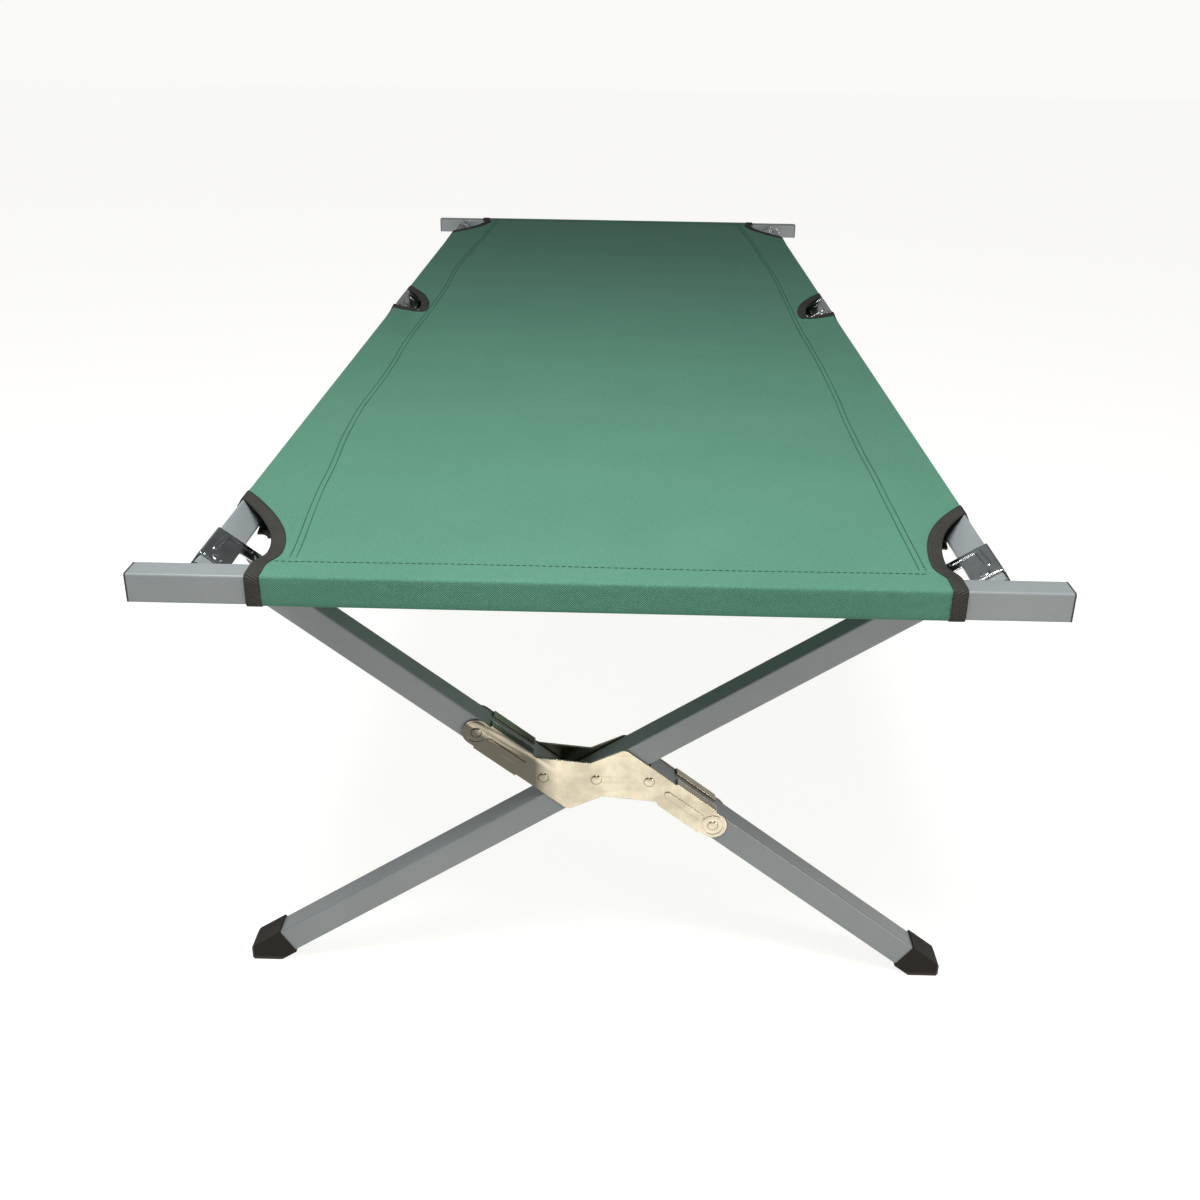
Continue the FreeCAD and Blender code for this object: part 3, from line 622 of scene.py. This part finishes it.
def tape_path(kind, side, end, edge, flap):
    """The cut edge in flat canvas coordinates, for the positive quarter, as points (s, t).

    It comes along the mouth of the rail's sleeve, follows the cutout and leaves along the next mouth.
    """
    mouth = np.arange(flap, edge, -0.004)
    if kind == "corner":
        t = np.array(stepped(corner_start, 0.0015, 0.765, 0.004, 0.90, 0.002, end_line["s"][-1]))
        curve = np.stack([cut_edge(side, end * t, edge), t], axis=1)
        return np.concatenate([np.stack([mouth, np.full(len(mouth), corner_start)], axis=1), curve])
    t = np.array(stepped(mid_start, 0.0005, 0.03, 0.004, 0.206, 0.001, mid_end))
    curve = np.stack([cut_edge(side, t, edge), t], axis=1)
    start = np.stack([mouth, np.full(len(mouth), mid_start)], axis=1)
    finish = np.stack([mouth[::-1], np.full(len(mouth), mid_end)], axis=1)
    return np.concatenate([start, curve, finish])


def even_path(path, step, soften):
    """Points at even steps along a path, with its turns eased by a running mean of soften points."""
    length = np.concatenate([[0], np.cumsum(np.linalg.norm(np.diff(path, axis=0), axis=1))])
    at = np.linspace(0, length[-1], round(length[-1] / step) + 1)
    even = np.stack([np.interp(at, length, path[:, k]) for k in (0, 1)], axis=1)
    padded = np.concatenate([np.repeat(even[:1], soften, 0), even, np.repeat(even[-1:], soften, 0)])
    window = np.ones(2 * soften + 1) / (2 * soften + 1)
    eased = np.stack([np.convolve(padded[:, k], window, "valid") for k in (0, 1)], axis=1)
    eased[0], eased[-1] = even[0], even[-1]
    return eased, at


bindings = []
for side, edge in ((1, edge_right), (-1, edge_left)):
    flap = side_lines[side]["s"][-1]
    for kind, end in (("corner", 1), ("corner", -1), ("mid", 1)):
        path, at = even_path(tape_path(kind, side, end, edge, flap), 0.0018, 2)
        way = np.gradient(path, axis=0)
        way = way / np.linalg.norm(way, axis=1, keepdims=True)
        inward = np.stack([-way[:, 1], way[:, 0]], axis=1)
        on_panel = (1 - smooth(path[:, 0], rail_x - 0.010, rail_x + 0.001)) * (1 - smooth(path[:, 1], 0.905, 0.915))
        on_flap = smooth(path[:, 0], edge + 0.031, edge + 0.038)
        on_flap = on_flap * (1 - smooth(path[:, 0], flap - 0.024, flap - 0.010))
        on_panel = on_panel + on_flap
        under = 0.0006 + (tape_width - 0.0006) * on_panel
        under_lift = 0.0001 + (tape_lift - 0.0001) * on_panel
        inset = [np.full(len(path), tape_width), np.full(len(path), tape_width * 0.66),
                 np.full(len(path), tape_width * 0.33), np.zeros(len(path)), np.full(len(path), -tape_over * 0.8),
                 np.full(len(path), -tape_over), np.full(len(path), -tape_over * 0.8), under * 0.05,
                 under * 0.5, under]
        lift = [tape_lift] * 4 + [tape_lift * 0.7, 0.0 * tape_lift]
        lift = [np.full(len(path), v) for v in lift] + [-under_lift * 0.7, -under_lift, -under_lift, -under_lift]
        inset, lift = np.stack(inset, axis=1), np.stack(lift, axis=1)
        s = side * (path[:, :1] + inward[:, :1] * inset)
        t = end * (path[:, 1:] + inward[:, 1:] * inset)
        points = on_cover(s, t) + square_to(s, t) * lift[..., None]
        faces = grid_faces(*inset.shape)
        if side * end > 0:
            faces = faces[:, ::-1]
        across = np.cumsum(np.full(inset.shape, 0.0016), axis=1)
        uv = np.stack([across, np.broadcast_to(at[:, None], inset.shape)], axis=-1).reshape(-1, 2)
        row = "mid" if kind == "mid" else "rear" if end > 0 else "front"
        name = f"binding_{'right' if side > 0 else 'left'}_{row}"
        bindings.append(cloth_piece(name, points.reshape(-1, 3), faces, webbing, uv, tape_thick))

# ---- stitching ----
# Dark green thread: two rows hold each side hem, and one row each end hem.
# The side rows wander a few millimetres and draw in towards the ends.
stitch_pitch = 0.0052
stitch_long = 0.0040
stitch_thick = 0.00042
seam_gap = 0.0052
seam_end = 0.9205

thread, tree, shader = new_finish("green_thread", Specular_IOR_Level=0.1)
skin = place_effect(tree, mottle, {"Vector": placed_by_object(tree), "Cloud": 120.0, "Grain": 2500.0})
tree.links.new(blended(tree, skin["Tone"], (0.005, 0.022, 0.015, 1), (0.010, 0.038, 0.026, 1)),
               shader.inputs["Base Color"])
roughened(tree, shader, skin["Tone"], 0.55, 0.75)
bumped(tree, shader, skin["Height"], 0.0001)


def stitch_shape():
    """One stitch along X: rings of five points, fat in the middle and drawn down at both ends."""
    along = np.array([-0.5, -0.42, -0.15, 0.15, 0.42, 0.5])
    fat = np.array([0.35, 0.85, 1.0, 1.0, 0.85, 0.35])
    round_it = np.linspace(0, 2 * math.pi, 6)[:-1]
    x = np.broadcast_to(along[:, None] * stitch_long, (6, 5))
    y = fat[:, None] * stitch_thick * np.cos(round_it)
    z = fat[:, None] * stitch_thick * (0.5 + np.sin(round_it)) - stitch_thick * (1 - fat[:, None])
    ring = np.arange(5)
    faces = [[k * 5 + i, k * 5 + j, (k + 1) * 5 + j, (k + 1) * 5 + i]
             for k in range(5) for i, j in zip(ring, np.roll(ring, -1))]
    shape = np.stack([x, y, z], axis=-1).reshape(-1, 3)
    middle = np.array([[-0.5 * stitch_long, 0, 0], [0.5 * stitch_long, 0, 0]])
    caps = [[30, j, i] for i, j in zip(ring, np.roll(ring, -1))]
    caps += [[31, 25 + i, 25 + j] for i, j in zip(ring, np.roll(ring, -1))]
    return np.concatenate([shape, middle]), faces, caps


def stitch_row(name, line):
    """Lays a stitch at even steps along a line of flat canvas coordinates, on top of the canvas."""
    length = np.concatenate([[0], np.cumsum(np.linalg.norm(np.diff(line, axis=0), axis=1))])
    at = np.arange(stitch_pitch, length[-1], stitch_pitch)
    s, t = [np.interp(at, length, line[:, k]) for k in (0, 1)]
    s2, t2 = [np.interp(at + 0.001, length, line[:, k]) for k in (0, 1)]
    place, out = on_cover(s, t), square_to(s, t)
    way = on_cover(s2, t2) - place
    way = way / np.linalg.norm(way, axis=1, keepdims=True)
    across = np.cross(out, way)
    shape, faces, caps = stitch_shape()
    lifted = place + out * (canvas / 2 - stitch_thick * 0.2)
    points = (lifted[:, None] + shape[None, :, :1] * way[:, None] + shape[None, :, 1:2] * across[:, None]
              + shape[None, :, 2:] * out[:, None])
    count = len(shape)
    step = (np.arange(len(at)) * count)[:, None, None]
    all_faces = (np.array(faces)[None] + step).reshape(-1, 4).tolist()
    all_faces += (np.array(caps)[None] + step).reshape(-1, 3).tolist()
    return mesh_piece(name, points.reshape(-1, 3), all_faces, thread)


def eased_row(places):
    """A seam line along the cot through (along, out) places, straight between them and then eased."""
    where, out = np.array(places).T
    even = np.interp(along, where, out)
    padded = np.concatenate([np.repeat(even[:1], 12), even, np.repeat(even[-1:], 12)])
    return np.convolve(padded, np.ones(25) / 25, "valid")


stitches = []
along = np.linspace(-0.915, 0.915, 400)
side_rows = {
    1: eased_row([(-0.916, 0.261), (-0.719, 0.2625), (-0.547, 0.262), (-0.368, 0.267), (-0.211, 0.268),
                  (-0.038, 0.2655), (0.172, 0.2685), (0.338, 0.270), (0.666, 0.263), (0.916, 0.252)]),
    -1: eased_row([(-0.912, 0.247), (-0.778, 0.260), (-0.657, 0.266), (-0.565, 0.2735), (-0.461, 0.2750),
                   (-0.317, 0.271), (-0.159, 0.2745), (0.014, 0.270), (0.200, 0.268), (0.398, 0.273),
                   (0.608, 0.264), (0.912, 0.252)]),
}
for side, label in ((1, "right"), (-1, "left")):
    for row_name, gap in (("outer", 0.0), ("inner", seam_gap)):
        line = np.stack([side * (side_rows[side] - gap), along], axis=1)
        stitches.append(stitch_row(f"stitch_{label}_{row_name}", line))
for end, label in ((1, "rear"), (-1, "front")):
    across = np.linspace(-0.262, 0.262, 60)
    line = np.stack([across, end * (seam_end + 0.0008 * np.sin(19 * across))], axis=1)
    stitches.append(stitch_row(f"stitch_{label}_end", line))

for piece in [cover, *bindings, *stitches]:
    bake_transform(piece)
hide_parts("cover")

# ---- studio ----
# A pale floor and soft lamps: one high in front, near the foot of the bed, and one to each side.
# The surround looks pale, but what the cot reflects of it is darker overhead and beyond the far end.
floor_reach = 14.0
floor_level = -0.0002
floor_corners = [(x * floor_reach, y * floor_reach, floor_level) for x, y in ((-1, -1), (1, -1), (1, 1), (-1, 1))]
floor_white, tree, shader = new_finish(
    "floor_white", Specular_IOR_Level=0.2, Emission_Color=(1.0, 0.99, 0.97, 1), Emission_Strength=0.88)
skin = place_effect(tree, mottle, {"Vector": placed_by_object(tree), "Cloud": 1.5, "Grain": 200.0})
tree.links.new(blended(tree, skin["Tone"], (0.24, 0.236, 0.228, 1), (0.26, 0.256, 0.248, 1)),
               shader.inputs["Base Color"])
roughened(tree, shader, skin["Tone"], 0.6, 0.7)
mesh_piece("floor", floor_corners, [(0, 1, 2, 3)], floor_white)

surround = bpy.data.worlds.new("surround")
bpy.context.scene.world = surround
surround.use_nodes = True
tree = surround.node_tree
tree.nodes.clear()
direction = add_node(tree, "ShaderNodeTexCoord").outputs["Generated"]
parts = add_node(tree, "ShaderNodeSeparateXYZ", {"Vector": direction}).outputs
pale = (0.955, 0.95, 0.93, 1)
overhead = blended(tree, spread_out(tree, parts["X"], -0.3, 0.3, 0.0, 1.0),
                   (0.24, 0.255, 0.26, 1), (0.10, 0.105, 0.105, 1))
horizon = blended(tree, spread_out(tree, parts["Y"], 0.3, 0.85, 0.0, 1.0), pale, (0.34, 0.345, 0.34, 1))
sky = blended(tree, spread_out(tree, parts["Z"], 0.05, 0.32, 0.0, 1.0), horizon, overhead)
seen = add_node(tree, "ShaderNodeLightPath").outputs["Is Camera Ray"]
sky = blended(tree, seen, sky, pale)
background = add_node(tree, "ShaderNodeBackground", {"Color": sky, "Strength": 1.0})
out = add_node(tree, "ShaderNodeOutputWorld")
tree.links.new(background.outputs["Background"], out.inputs["Surface"])


def soft_lamp(name, place, aim, size, power, colour=(1, 1, 1)):
    """A rectangular lamp at place, facing aim, of a size in metres and a power in watts."""
    lamp = bpy.data.lights.new(name, "AREA")
    lamp.shape = "RECTANGLE"
    lamp.size, lamp.size_y = size
    lamp.energy = power
    lamp.color = colour
    stand = bpy.data.objects.new(name, lamp)
    bpy.context.scene.collection.objects.link(stand)
    stand.location = place
    stand.rotation_mode = "QUATERNION"
    stand.rotation_quaternion = (Vector(aim) - Vector(place)).to_track_quat("-Z", "Y")


soft_lamp("front_lamp", (-0.12, -1.22, 1.84), (0.0, -0.85, 0.40), (0.9, 0.7), 55)
soft_lamp("left_lamp", (-2.6, -0.6, 2.0), (0, -0.3, 0.3), (1.4, 1.4), 9)
soft_lamp("right_lamp", (1.7, -1.9, 0.7), (0.2, -0.85, 0.15), (0.8, 0.6), 14, (1.0, 0.93, 0.84))
